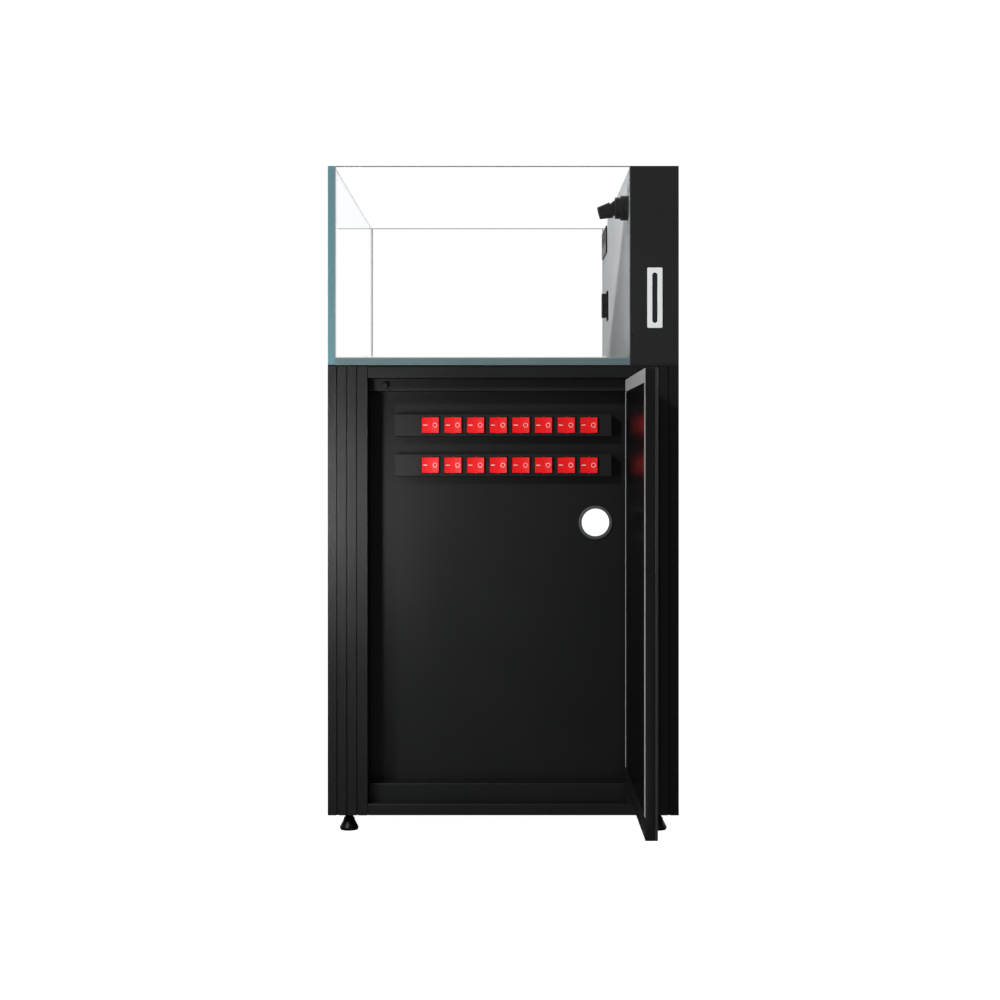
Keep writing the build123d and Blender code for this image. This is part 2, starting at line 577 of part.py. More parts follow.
def outer_panels():
    """Far end panel with its service cut-out, and the thin rear panel."""
    y1 = LENGTH - FACE_RAIL[0]
    panel = block(-INNER_X, INNER_X, y1, y1 + FAR_PANEL, LOW_RAIL_Z, TOP_RAIL_Z)
    wide, tall = CUTOUT
    x1 = INNER_X - CUTOUT_EDGE
    y2 = y1 + FAR_PANEL
    cut = block(x1 - wide, x1, y1 - OVER, y2 + OVER, CUTOUT_Z - tall / 2, CUTOUT_Z + tall / 2)
    cut = fillet(cut.edges().filter_by(Axis.Y), CUTOUT_CORNER_R)
    write("far_end_panel", panel - cut)
    x0 = REAR_INNER_X + REAR_PANEL
    write("rear_panel", block(x0, x0 + REAR_PANEL, POST, FAR_POST_Y, SILL_Z, TOP_BEAM_Z))


def feet():
    """Levelling feet: bell and threaded stem, one node each."""
    for (x, y), name in zip(post_centres(), ("near_front", "near_rear", "far_front", "far_rear")):
        with BuildSketch(Plane.XZ) as outline:
            with BuildLine():
                Line((0, 0), (BELL_R, 0))
                Line((BELL_R, 0), (BELL_R, BELL_RIM))
                ThreePointArc((BELL_R, BELL_RIM), BELL_WAIST, (BELL_TOP_R, BELL_HEIGHT))
                Line((BELL_TOP_R, BELL_HEIGHT), (0, BELL_HEIGHT))
                Line((0, BELL_HEIGHT), (0, 0))
            make_face()
        bell = revolve(outline.sketch, Axis.Z)
        stem = rod_z(0, 0, BELL_HEIGHT - OVER, FOOT_HEIGHT + STEM_IN_POST, STEM_FOOT_R)
        write(f"foot_{name}", Pos(x, y, 0) * (bell + stem))


# ---- doors ----


def door_shapes(width):
    """Core, skin and liner of a closed door: pivot at the origin, outer face at -Y, free edge at -X."""
    x0, x1 = PIVOT_INSET - width, PIVOT_INSET
    y0, y1 = -DOOR / 2, DOOR / 2
    core = block(x0, x1, y0 + DOOR_SKIN, y1, DOOR_Z0, DOOR_Z1)
    pocket = (x0 + LINER_BORDER, x1 - LINER_BORDER)
    z0, z1 = DOOR_Z0 + LINER_BORDER_LOW, DOOR_Z1 - LINER_BORDER
    core -= block(*pocket, y1 - LINER, y1 + OVER, z0, z1)
    bores = ((DOOR_Z0 - OVER, DOOR_Z0 + PIVOT_DEPTH), (DOOR_Z1 - PIVOT_DEPTH, DOOR_Z1 + OVER))
    for low, high in bores:
        core -= rod_z(0, 0, low, high, PIVOT_R + RUNNING)
    skin = block(x0, x1, y0, y0 + DOOR_SKIN, DOOR_Z0, DOOR_Z1)
    skin = chamfer(skin.faces().sort_by(Axis.Y)[0].edges(), DOOR_CHAMFER)
    liner = block(*pocket, y1 - LINER, y1 - LINER_SINK, z0, z1)
    return core, skin, liner


def doors():
    """End door, standing open, and the closed pair of front doors."""
    place = Pos(*END_PIVOT, 0) * Rot(0, 0, END_DOOR_OPEN)
    core, skin, liner = door_shapes(END_DOOR_W)
    write("end_door_core", place * core)
    write("end_door_skin", place * skin)
    write("end_door_liner", place * liner)
    near = [Pos(*FRONT_PIVOT, 0) * Rot(0, 0, -90) * shape for shape in door_shapes(FRONT_DOOR_W)]
    middle = Plane.XZ.offset(-LENGTH / 2)
    write("front_door_near", *near)
    write("front_door_far", *[mirror(shape, about=middle) for shape in near])


def pivot_set(x, y):
    """Top pin, and bottom block with its pin, on one door's axis."""
    top = rod_z(x, y, DOOR_Z1 - PIVOT_DEPTH + PIVOT_END_GAP, TOP_RAIL_Z, PIVOT_R)
    half = PIVOT_BLOCK / 2
    low = block(x - half, x + half, y - half, y + half, LOW_RAIL_Z, DOOR_Z0 - PIVOT_BLOCK_GAP)
    low += rod_z(x, y, LOW_RAIL_Z + OVER, DOOR_Z0 + PIVOT_DEPTH - PIVOT_END_GAP, PIVOT_R)
    return [top, low]


def door_hardware():
    """Pivots of the three doors and the push latches on the top beams."""
    fx, fy = FRONT_PIVOT
    pieces = pivot_set(*END_PIVOT) + pivot_set(fx, fy) + pivot_set(fx, LENGTH - fy)
    write("door_pivots", *pieces)
    z = (TOP_BEAM_Z + DOOR_Z1) / 2
    tip = DOOR + LOOSE
    end_x = END_PIVOT[0] + PIVOT_INSET - END_DOOR_W + LATCH_INSET
    latches = [rod_y(end_x, z, tip, FACE_RAIL[0], LATCH_R)]
    for side in (-1, 1):
        y = LENGTH / 2 + side * LATCH_INSET
        latches.append(rod_x(y, z, tip - HALF_W, FACE_RAIL[0] - HALF_W, LATCH_R))
    write("push_latches", *latches)


# ---- power boards ----


def rocker_places():
    """Axis of every rocker: board index, place in its row, x and z."""
    middle = ROCKER_OFFSET
    for row, drop in enumerate(BOARD_DROPS):
        for i in range(ROCKERS):
            yield row, i, middle + (i - (ROCKERS - 1) / 2) * ROCKER_PITCH, STAND_HEIGHT - drop


def power_boards():
    """Two bodies on the partition, each with a pocket for every switch, and the switch bezels."""
    wide, tall = ROCKER
    open_w, open_h = wide + 2 * ROCKER_GAP, tall + 2 * ROCKER_GAP
    out_w, out_h = open_w + 2 * BEZEL_WALL, open_h + 2 * BEZEL_WALL
    row_half = (ROCKERS - 1) / 2 * ROCKER_PITCH
    bodies = []
    for drop in BOARD_DROPS:
        z = STAND_HEIGHT - drop
        x0 = ROCKER_OFFSET - row_half - BOARD_MARGIN[0]
        x1 = ROCKER_OFFSET + row_half + BOARD_MARGIN[1]
        body = block(x0, x1, BOARD_FACE_Y, POST, z - BOARD_HEIGHT / 2, z + BOARD_HEIGHT / 2)
        bodies.append(fillet(body.edges().filter_by(Axis.X).sort_by(Axis.Y)[:2], BOARD_CORNER_R))
    bezels = []
    y0, y1 = BOARD_FACE_Y - BEZEL_PROUD, BOARD_FACE_Y + BEZEL_DEPTH
    for row, _, x, z in rocker_places():
        sleeve = (x - out_w / 2, x + out_w / 2, z - out_h / 2, z + out_h / 2)
        bodies[row] -= block(sleeve[0], sleeve[1], y0, y1, sleeve[2], sleeve[3])
        bezel = block(sleeve[0], sleeve[1], y0, y1, sleeve[2], sleeve[3])
        inside = (x - open_w / 2, x + open_w / 2, y0 - OVER, y1 + OVER)
        bezel -= block(*inside, z - open_h / 2, z + open_h / 2)
        reach = out_h / 2 + OVER
        bezel -= rod_z(x, BOARD_FACE_Y, z - reach, z + reach, TRUNNION_R + RUNNING)
        bezels.append(bezel)
    write("power_boards", *bodies)
    write("switch_bezels", *bezels)


def rocker():
    """Shallow V paddle on two trunnions, pivot axis at the origin, face towards -Y."""
    half, tall = ROCKER[0] / 2, ROCKER[1]
    face = [(-half, -ROCKER_RISE), (0, -ROCKER_VALLEY), (half, -ROCKER_RISE), (half, 0)]
    back = [(half - ROCKER_TAPER, ROCKER_BACK), (ROCKER_TAPER - half, ROCKER_BACK), (-half, 0)]
    body = extrude(make_face(Polyline(*face, *back, close=True)), tall / 2, both=True)
    reach = tall / 2 + ROCKER_GAP + TRUNNION_REACH
    return body + rod_z(0, 0, -reach, reach, TRUNNION_R)


def rockers():
    """Sixteen rockers at rest with their left half pressed in."""
    paddle = Rot(0, 0, -ROCKER_TILT) * rocker()
    for row, i, x, z in rocker_places():
        write(f"rocker_{'ab'[row]}{i + 1}", Pos(x, BOARD_FACE_Y, z) * paddle)


# ---- sump ----


def sump():
    """Open glass sump with two baffles."""
    wide, long, tall = SUMP
    x0, y0, z0 = SUMP_X0, SUMP_Y0, SILL_Z
    g = SUMP_GLASS
    shell = block(x0, x0 + wide, y0, y0 + long, z0, z0 + tall)
    shell -= block(x0 + g, x0 + wide - g, y0 + g, y0 + long - g, z0 + g, z0 + tall + OVER)
    baffles = [block(x0 + g, x0 + wide - g, y0 + place, y0 + place + g, z0 + g, z0 + tall - BAFFLE_DROP)
               for place in SUMP_CHAMBERS]
    write("sump_tank", shell, *baffles)


def return_pump():
    """Rounded motor block with its outlet boss."""
    wide, long, tall = PUMP
    z0 = SILL_Z + SUMP_GLASS
    z1 = z0 + tall
    x0, x1 = PUMP_X - wide / 2, PUMP_X + wide / 2
    body = block(x0, x1, RETURN_Y - long / 2, RETURN_Y + long / 2, z0, z1)
    body = fillet(body.edges().filter_by(Axis.Y), PUMP_CORNER_R)
    bore_r = PIPE_R - PIPE_WALL
    body += rod_z(PUMP_X, RETURN_Y, z1 - OVER, z1 + PUMP_RISER, bore_r + OUTLET_WALL)
    body -= rod_z(PUMP_X, RETURN_Y, z1 + OUTLET_FLOOR, z1 + PUMP_RISER + OVER, bore_r)
    write("return_pump", body)


def main():
    os.makedirs("parts", exist_ok=True)
    for make in (tank_panes, rear_wall, silicone_seams, overflow_box, slotted_bracket, weir_comb,
                 return_bulkhead, return_nozzle, probe_holder, bulkhead_fittings, drain_pipe,
                 return_pipe, gate_valve, levelling_mat, frame, boards, partition, cable_grommet,
                 outer_panels, feet, doors, door_hardware, power_boards, rockers, sump, return_pump):
        make()


main()
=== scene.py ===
# %% [markdown]
# # Aquarium on a stand
# The structure, the joints and every size come from a CAD model. This notebook loads that model as
# a fixed frame, and then makes the pieces and finishes that a CAD solid can't show: polished glass
# with coloured edges, extrusions with eased corners, and rockers with their marks.

# %% Load the frame
import json
from math import pi, radians

import bpy
from mathutils import Matrix, Vector


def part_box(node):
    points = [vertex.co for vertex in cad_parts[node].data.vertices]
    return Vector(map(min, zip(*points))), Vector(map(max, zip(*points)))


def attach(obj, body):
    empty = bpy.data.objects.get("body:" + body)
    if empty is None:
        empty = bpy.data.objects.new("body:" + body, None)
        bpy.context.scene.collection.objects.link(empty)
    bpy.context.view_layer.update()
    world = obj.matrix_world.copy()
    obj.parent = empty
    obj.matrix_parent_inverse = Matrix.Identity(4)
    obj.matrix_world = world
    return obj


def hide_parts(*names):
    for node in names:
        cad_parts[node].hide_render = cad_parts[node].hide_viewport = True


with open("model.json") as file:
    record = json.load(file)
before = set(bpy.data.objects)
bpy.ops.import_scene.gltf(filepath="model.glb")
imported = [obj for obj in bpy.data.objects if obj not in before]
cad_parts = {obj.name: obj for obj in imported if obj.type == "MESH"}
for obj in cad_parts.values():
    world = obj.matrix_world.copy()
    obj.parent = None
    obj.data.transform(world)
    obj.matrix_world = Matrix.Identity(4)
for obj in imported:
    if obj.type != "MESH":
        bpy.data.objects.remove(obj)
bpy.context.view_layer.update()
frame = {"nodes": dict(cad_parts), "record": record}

RECORD = frame["record"]
JOINTS = RECORD["behaviour"]["joints"]
PIVOT = {row["child"]: Vector(row["pos_m"]) for row in JOINTS if "pos_m" in row}
ROOT = "aquarium"

# %% [markdown]
# ## The studio
# A product shot wants an even white surround, yet satin black only looks black when what it reflects
# is dim. So the world is white where it is looked at, straight or through glass. As a light it fades
# from the rear of the stand to a dim grey in front of it, and only a mirrored rear is as bright as
# white. What a matt surface gets through a pane is dimmed too, so that the key light can throw the
# near pane's shadow on the rear wall of the tank.

# %% World
DIM_SIDE = 0.16
LIT_SIDE = 0.36
MIRRORED = 1.0
SEEN_WHITE = 1.05
THROUGH_GLASS = 0.22
FADE_FROM, FADE_TO = -0.2, 0.8
COOL_WHITE = (0.95, 0.98, 1.0, 1)
world = bpy.data.worlds.new("studio")
bpy.context.scene.world = world
world.use_nodes = True
wt = world.node_tree
wt.nodes.clear()
out = wt.nodes.new("ShaderNodeOutputWorld")
rays = wt.nodes.new("ShaderNodeLightPath")
seen = wt.nodes.new("ShaderNodeMath")
seen.operation = "MAXIMUM"
wt.links.new(rays.outputs["Is Camera Ray"], seen.inputs[0])
wt.links.new(rays.outputs["Is Transmission Ray"], seen.inputs[1])
glow = wt.nodes.new("ShaderNodeBackground")
glow.inputs["Color"].default_value = COOL_WHITE
heading = wt.nodes.new("ShaderNodeTexCoord")
parts = wt.nodes.new("ShaderNodeSeparateXYZ")
fade = wt.nodes.new("ShaderNodeMapRange")
fade.interpolation_type = "SMOOTHSTEP"
fade.inputs["From Min"].default_value = FADE_FROM
fade.inputs["From Max"].default_value = FADE_TO
fade.inputs["To Min"].default_value = DIM_SIDE
behind = wt.nodes.new("ShaderNodeMapRange")
behind.inputs["To Min"].default_value = LIT_SIDE
behind.inputs["To Max"].default_value = MIRRORED
wt.links.new(rays.outputs["Is Glossy Ray"], behind.inputs["Value"])
wt.links.new(behind.outputs["Result"], fade.inputs["To Max"])
wt.links.new(heading.outputs["Generated"], parts.inputs[0])
wt.links.new(parts.outputs["Y"], fade.inputs["Value"])
wt.links.new(fade.outputs["Result"], glow.inputs["Strength"])
white = wt.nodes.new("ShaderNodeBackground")
white.inputs["Color"].default_value = (1, 1, 1, 1)
through = wt.nodes.new("ShaderNodeMapRange")
through.inputs["To Min"].default_value = SEEN_WHITE
through.inputs["To Max"].default_value = THROUGH_GLASS
wt.links.new(rays.outputs["Diffuse Depth"], through.inputs["Value"])
wt.links.new(through.outputs["Result"], white.inputs["Strength"])
both = wt.nodes.new("ShaderNodeMixShader")
wt.links.new(seen.outputs[0], both.inputs[0])
wt.links.new(glow.outputs[0], both.inputs[1])
wt.links.new(white.outputs[0], both.inputs[2])
wt.links.new(both.outputs[0], out.inputs[0])
bpy.context.scene.view_settings.view_transform = "Standard"

# %% [markdown]
# ## Floor
# The floor is a plain pale sheet. It glows a little when it is looked at, so that it meets the white
# surround with no horizon. It is dull grey to everything else, so that it doesn't light the black
# panels from below, and a matt surface that sees it through a pane gets a share of the glow.

# %% Floor
FLOOR_SIZE = 30
FLOOR_GREY = (0.30, 0.30, 0.30, 1)
bpy.ops.object.select_all(action="DESELECT")
bpy.ops.mesh.primitive_plane_add(size=FLOOR_SIZE, location=(0, 0, 0))
floor = bpy.context.object
floor.name = "studio_floor"
floor_paper = bpy.data.materials.new("floor_paper")
floor_paper.use_nodes = True
ft = floor_paper.node_tree
paper = ft.nodes["Principled BSDF"]
paper.inputs["Base Color"].default_value = FLOOR_GREY
paper.inputs["Roughness"].default_value = 0.9
paper.inputs["Specular IOR Level"].default_value = 0.0
lit = ft.nodes.new("ShaderNodeEmission")
glaze = ft.nodes.new("ShaderNodeAddShader")
swap = ft.nodes.new("ShaderNodeMixShader")
floor_rays = ft.nodes.new("ShaderNodeLightPath")
floor_through = ft.nodes.new("ShaderNodeMapRange")
floor_through.inputs["To Min"].default_value = 1.0
floor_through.inputs["To Max"].default_value = THROUGH_GLASS
ft.links.new(floor_rays.outputs["Diffuse Depth"], floor_through.inputs["Value"])
ft.links.new(floor_through.outputs["Result"], lit.inputs["Strength"])
floor_seen = ft.nodes.new("ShaderNodeMath")
floor_seen.operation = "MAXIMUM"
ft.links.new(floor_rays.outputs["Is Camera Ray"], floor_seen.inputs[0])
ft.links.new(floor_rays.outputs["Is Transmission Ray"], floor_seen.inputs[1])
ft.links.new(paper.outputs[0], glaze.inputs[0])
ft.links.new(lit.outputs[0], glaze.inputs[1])
ft.links.new(floor_seen.outputs[0], swap.inputs[0])
ft.links.new(paper.outputs[0], swap.inputs[1])
ft.links.new(glaze.outputs[0], swap.inputs[2])
ft.links.new(swap.outputs[0], ft.nodes["Material Output"].inputs["Surface"])
floor.data.materials.append(floor_paper)

# %% [markdown]
# ## Camera
# This is an end view from a long way off: the camera looks level along +Y, and the lens shift
# keeps the uprights upright. The near end plane of the tank sets the distance.

# %% Camera
CAMERA_X = 0.004
CAMERA_BACK = 3.170
CAMERA_HEIGHT = 0.651
LENS = 66.8
SHIFT = (-0.0056, -0.048)
near_end_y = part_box("front_glass")[0][1]
camera_data = bpy.data.cameras.new("camera")
camera = bpy.data.objects.new("camera", camera_data)
bpy.context.collection.objects.link(camera)
camera.location = (CAMERA_X, near_end_y - CAMERA_BACK, CAMERA_HEIGHT)
camera.rotation_euler = (radians(90), 0, 0)
camera_data.lens = LENS
camera_data.shift_x, camera_data.shift_y = SHIFT
bpy.context.scene.camera = camera

# %% [markdown]
# ## Lights
# All five are area lights, and none shows itself to the camera. The key is small and far away at the
# front left, above the rim, at a slope that sets the shadow's line on the rear wall. The glow stands
# near the left edge: its reflection in the satin coat fades across the near left post. The others are
# large, and fill in from the front right, overhead and the rear right.

# %% Lights
def softbox(name, place, aim, size, watts):
    """An area light at place, turned to face aim."""
    lamp = bpy.data.lights.new(name, "AREA")
    lamp.shape = "RECTANGLE"
    lamp.size, lamp.size_y = size
    lamp.energy = watts
    holder = bpy.data.objects.new(name, lamp)
    bpy.context.collection.objects.link(holder)
    holder.location = place
    holder.visible_camera = False
    holder.rotation_euler = (Vector(aim) - Vector(place)).to_track_quat("-Z", "Y").to_euler()


rim_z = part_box("front_glass")[1][2]
KEY_SLOPE = 0.4375
KEY_BACK = 3.0
KEY_LEFT = 2.2
GLOW_BACK = 0.60
FILL_BACK = 2.6
key_place = (-KEY_LEFT, near_end_y - KEY_BACK, rim_z + KEY_SLOPE * KEY_BACK)
softbox("key", key_place, (0, near_end_y, 0.9), (0.35, 0.35), 112)
softbox("front_fill", (0.9, near_end_y - FILL_BACK, 0.9), (-0.1, near_end_y, 0.6), (2.2, 2.0), 2)
softbox("left_glow", (-0.45, near_end_y - GLOW_BACK, 0.545), (-0.30, near_end_y, 0.56), (0.08, 0.28), 2.9)
softbox("top_softbox", (0, 0, 3.2), (0, 0, 0), (2.4, 3.0), 20)
softbox("right_fill", (2.6, 1.6, 1.8), (0, 0, 0.6), (1.6, 1.6), 25)

# %% [markdown]
# ## Finishes
# Every finish starts as one Principled shader. Powder coat, laminate and moulded plastic differ
# mostly in how rough they are and in the scale of the tiny bumps in them, so one helper builds the
# bumps from noise on Object coordinates, and mixes a slight change of colour and roughness.

# %% Finish helper
GRAIN_DETAIL = 3.0
MOTTLE_SCALE, MOTTLE_DETAIL = 9.0, 4.0
GRAIN_DEPTH = 0.0003
SMOOTHEST = 0.02


def finish(name, colour, roughness, grain=900.0, bump=0.05, mottle=0.12, specular=0.5, wander=0.06):
    """A fine-grained surface. grain is the noise scale per metre, bump its depth, mottle its colour."""
    made = bpy.data.materials.new(name)
    made.use_nodes = True
    nt = made.node_tree
    shader = nt.nodes["Principled BSDF"]
    shader.inputs["Specular IOR Level"].default_value = specular
    place = nt.nodes.new("ShaderNodeTexCoord")
    fine = nt.nodes.new("ShaderNodeTexNoise")
    fine.inputs["Scale"].default_value = grain
    fine.inputs["Detail"].default_value = GRAIN_DETAIL
    broad = nt.nodes.new("ShaderNodeTexNoise")
    broad.inputs["Scale"].default_value = MOTTLE_SCALE
    broad.inputs["Detail"].default_value = MOTTLE_DETAIL
    tint = nt.nodes.new("ShaderNodeValToRGB")
    low = [c * (1 - mottle) for c in colour]
    high = [min(1.0, c * (1 + mottle)) for c in colour]
    tint.color_ramp.elements[0].color = (*low, 1)
    tint.color_ramp.elements[1].color = (*high, 1)
    sheen = nt.nodes.new("ShaderNodeMapRange")
    sheen.inputs["To Min"].default_value = max(SMOOTHEST, roughness - wander)
    sheen.inputs["To Max"].default_value = roughness + wander
    relief = nt.nodes.new("ShaderNodeBump")
    relief.inputs["Strength"].default_value = bump
    relief.inputs["Distance"].default_value = GRAIN_DEPTH
    nt.links.new(place.outputs["Object"], fine.inputs["Vector"])
    nt.links.new(place.outputs["Object"], broad.inputs["Vector"])
    nt.links.new(broad.outputs["Fac"], tint.inputs["Fac"])
    nt.links.new(tint.outputs["Color"], shader.inputs["Base Color"])
    nt.links.new(broad.outputs["Fac"], sheen.inputs["Value"])
    nt.links.new(sheen.outputs["Result"], shader.inputs["Roughness"])
    nt.links.new(fine.outputs["Fac"], relief.inputs["Height"])
    nt.links.new(relief.outputs["Normal"], shader.inputs["Normal"])
    return made


# %% [markdown]
# The finishes themselves: powder coat on the extrusions, laminate on the boards, lacquer and a gloss
# panel on the doors, black plates, matt mouldings, pipe, foam, rubber, zinc plate, the grey film on
# the tank's rear wall and the red of the rockers.

# %% Finishes
powder_coat = finish("powder_coat", (0.0050, 0.0055, 0.0058), 0.42, grain=2600, bump=0.10, specular=0.27)
laminate = finish("laminate", (0.0048, 0.0052, 0.0055), 0.40, grain=1500, bump=0.04, specular=0.26)
door_lacquer = finish("door_lacquer", (0.0046, 0.0050, 0.0052), 0.34, grain=1800, bump=0.03, specular=0.26)
gloss_black = finish(
    "gloss_black", (0.0015, 0.0016, 0.0017), 0.26, grain=300, bump=0.004, specular=0.05, wander=0.02
)
plate_black = finish("plate_black", (0.0160, 0.0163, 0.0170), 0.28, grain=900, bump=0.01, specular=0.30)
moulded_black = finish("moulded_black", (0.0070, 0.0074, 0.0078), 0.38, grain=2200, bump=0.08, specular=0.3)
pipe_grey = finish("pipe_grey", (0.10, 0.105, 0.11), 0.32, grain=700, bump=0.03)
foam = finish("foam", (0.012, 0.012, 0.013), 0.85, grain=1600, bump=0.5, specular=0.2)
grommet_rubber = finish("grommet_rubber", (0.055, 0.058, 0.062), 0.5, grain=1500, bump=0.08)
zinc = finish("zinc", (0.42, 0.42, 0.43), 0.3, grain=1200, bump=0.05)
zinc.node_tree.nodes["Principled BSDF"].inputs["Metallic"].default_value = 1.0
white_plate = finish("white_plate", (0.87, 0.88, 0.89), 0.45, grain=1500, bump=0.05, mottle=0.02)
rocker_red = finish(
    "rocker_red", (0.74, 0.008, 0.010), 0.36, grain=1500, bump=0.02, mottle=0.05, specular=0.12
)
wheel_red = finish("wheel_red", (0.45, 0.02, 0.02), 0.4, grain=900, bump=0.08)
tank_black = finish("tank_black", (0.0015, 0.0016, 0.0017), 0.34, grain=1800, bump=0.05, specular=0.06)
# Painted reflection: this pale grey on the door's inner border stands in for the reflection and edge
# highlights of glossy black.
painted_reflection_border = finish("painted_reflection_border", (0.36, 0.364, 0.37), 0.38, grain=1400, bump=0.03, mottle=0.05)
skin_black = finish("skin_black", (0.027, 0.028, 0.030), 0.36, grain=1800, bump=0.03, specular=0.4)
mark_pale = finish("mark_pale", (0.80, 0.62, 0.60), 0.4, grain=1500, bump=0.02, mottle=0.03)
foot_black = finish("foot_black", (0.0030, 0.0032, 0.0034), 0.36, grain=1800, bump=0.08, specular=0.10)
wall_grey = finish("wall_grey", (0.80, 0.83, 0.838), 0.80, grain=600, bump=0.01, mottle=0.03, specular=0.0)

SLOT_FINISH = {
    "grey_film_glass": wall_grey, "black_gloss": plate_black, "white_plastic": white_plate,
    "black_plastic": moulded_black, "grey_plastic": pipe_grey, "red_plastic": wheel_red,
    "foam_rubber": foam, "black_aluminium": powder_coat, "black_board": laminate,
    "grommet_rubber": grommet_rubber, "door_paint": door_lacquer, "door_gloss": gloss_black,
    "steel": zinc, "red_rocker": rocker_red, "foot_metal": foot_black,
}
for row in RECORD["subparts"]:
    if row["material_slot"] in SLOT_FINISH:
        node = frame["nodes"][row["node"]]
        node.data.materials.clear()
        node.data.materials.append(SLOT_FINISH[row["material_slot"]])

# %% [markdown]
# ## Glass
# Float glass looks clear through its faces and teal through its length, because the light that
# leaves by a cut edge has travelled a long way inside it. A pane is therefore three finishes on one
# block: clear faces, edges that already have their colour, and arrises. The arrises are ground off by
# a fraction of a millimetre, and that narrow flat is what draws the thin line round a pane.

# %% Glass finishes
def glass(name, colour, ior=1.22):
    """A smooth clear material. A low index keeps the faces from mirroring the studio."""
    made = bpy.data.materials.new(name)
    made.use_nodes = True
    shader = made.node_tree.nodes["Principled BSDF"]
    shader.inputs["Base Color"].default_value = (*colour, 1)
    shader.inputs["Roughness"].default_value = 0.0
    shader.inputs["IOR"].default_value = ior
    shader.inputs["Transmission Weight"].default_value = 1.0
    return made


clear_face = glass("clear_face", (1.0, 1.0, 1.0))
silicone_clear = finish("silicone_clear", (0.80, 0.84, 0.85), 0.3, grain=300, bump=0.02, mottle=0.02)
silicone_clear.node_tree.nodes["Principled BSDF"].inputs["Alpha"].default_value = 0.05
sump_face = glass("sump_face", (0.93, 0.97, 0.96))
cut_edge = finish("cut_edge", (0.115, 0.235, 0.265), 0.16, grain=400, bump=0.02, mottle=0.10)
# Painted shade: the base pane's edges get a darker, greyer copy of the cut-edge colour.
shaded_base_edge = finish("shaded_base_edge", (0.108, 0.165, 0.175), 0.16, grain=400, bump=0.02, mottle=0.10)
arris = finish("arris", (0.30, 0.36, 0.37), 0.25, grain=900, bump=0.05, mottle=0.05)

# %% [markdown]
# ## Modelling helpers
# Every piece starts as a cube or a cylinder, or as a copy of its CAD mesh, and is then worked with the
# usual tools: bevel, extrude, join and shading by angle. The place of a piece is put in its mesh, so
# that its origin is at the frame's origin.

# %% Modelling helpers
EASE_ANGLE = 30
FACING = 0.9
NEAR = 0.0001


def start_block(name, low, high):
    """A cube primitive stretched between two corners, its place in its mesh, and left selected."""
    bpy.ops.object.select_all(action="DESELECT")
    low, high = Vector(low), Vector(high)
    bpy.ops.mesh.primitive_cube_add(size=1, location=(low + high) / 2)
    piece = bpy.context.object
    piece.name = name
    piece.data.name = name
    piece.scale = high - low
    bpy.ops.object.transform_apply(location=True, rotation=True, scale=True)
    return piece


def start_rod(name, centre, radius, length, sides):
    """An upright cylinder primitive, its place in its mesh."""
    bpy.ops.object.select_all(action="DESELECT")
    bpy.ops.mesh.primitive_cylinder_add(vertices=sides, radius=radius, depth=length, location=centre)
    piece = bpy.context.object
    piece.name = name
    piece.data.name = name
    bpy.ops.object.transform_apply(location=True, rotation=True, scale=True)
    return piece


def bevel(piece, width, segments=2, angle=EASE_ANGLE):
    """Eases every edge sharper than angle."""
    mod = piece.modifiers.new("ease", "BEVEL")
    mod.width = width
    mod.segments = segments
    mod.limit_method = "ANGLE"
    mod.angle_limit = radians(angle)
    bpy.context.view_layer.objects.active = piece
    bpy.ops.object.modifier_apply(modifier="ease")


def select_faces(piece, test):
    """Enters edit mode with only the faces selected that pass test(centre, normal)."""
    bpy.context.view_layer.objects.active = piece
    bpy.ops.object.mode_set(mode="EDIT")
    bpy.ops.mesh.select_mode(type="FACE")
    bpy.ops.mesh.select_all(action="DESELECT")
    bpy.ops.object.mode_set(mode="OBJECT")
    for face in piece.data.polygons:
        face.select = test(face.center, face.normal)
    bpy.ops.object.mode_set(mode="EDIT")


def leave_edit():
    """Back to object mode."""
    bpy.ops.object.mode_set(mode="OBJECT")


def join(pieces):
    """One object from several."""
    bpy.ops.object.select_all(action="DESELECT")
    for piece in pieces:
        piece.select_set(True)
    bpy.context.view_layer.objects.active = pieces[0]
    bpy.ops.object.join()
    return pieces[0]


def smooth(piece, angle=35):
    """Smooth shading except across sharp edges."""
    bpy.ops.object.select_all(action="DESELECT")
    piece.select_set(True)
    bpy.context.view_layer.objects.active = piece
    bpy.ops.object.shade_smooth_by_angle(angle=radians(angle))


def flatten(piece):
    """Weighted normals, so that a wide flat face stays flat right up to its rounded edge."""
    mod = piece.modifiers.new("flatten", "WEIGHTED_NORMAL")
    mod.keep_sharp = True
    mod.weight = 100
    bpy.context.view_layer.objects.active = piece
    bpy.ops.object.modifier_apply(modifier="flatten")


def keep(piece, body, replaced=(), finishes=()):
    """Gives a finished piece its body and finishes, and names the CAD nodes it stands for."""
    for made in finishes:
        piece.data.materials.append(made)
    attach(piece, body)
    if replaced:
        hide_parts(*replaced)
    return piece


# %% [markdown]
# ## Panes
# The panes are blocks on the CAD panes' own corners. The end panes stand between the front pane and
# the rear wall, so their side and lower edges are bonded with silicone, and stay clear.

# %% Panes
ARRIS_WIDTH = 0.0007
SQUARE_ON, EDGE_ON = 0.99, 0.1


def pane(name, low, high, thin, replaced, inner=False, edge=None):
    """A pane with eased arrises. thin is the axis across. An inner pane's bonded edges stay clear."""
    piece = start_block(name, low, high)
    bevel(piece, ARRIS_WIDTH, 1)
    for mat in (clear_face, edge or cut_edge, arris):
        piece.data.materials.append(mat)
    for face in piece.data.polygons:
        across = abs(face.normal[thin])
        bonded = abs(face.normal.x) > FACING or face.normal.z < -FACING
        face.material_index = 0 if across > SQUARE_ON or (inner and bonded) else 1 if across < EDGE_ON else 2
    keep(piece, ROOT, replaced)
    return piece


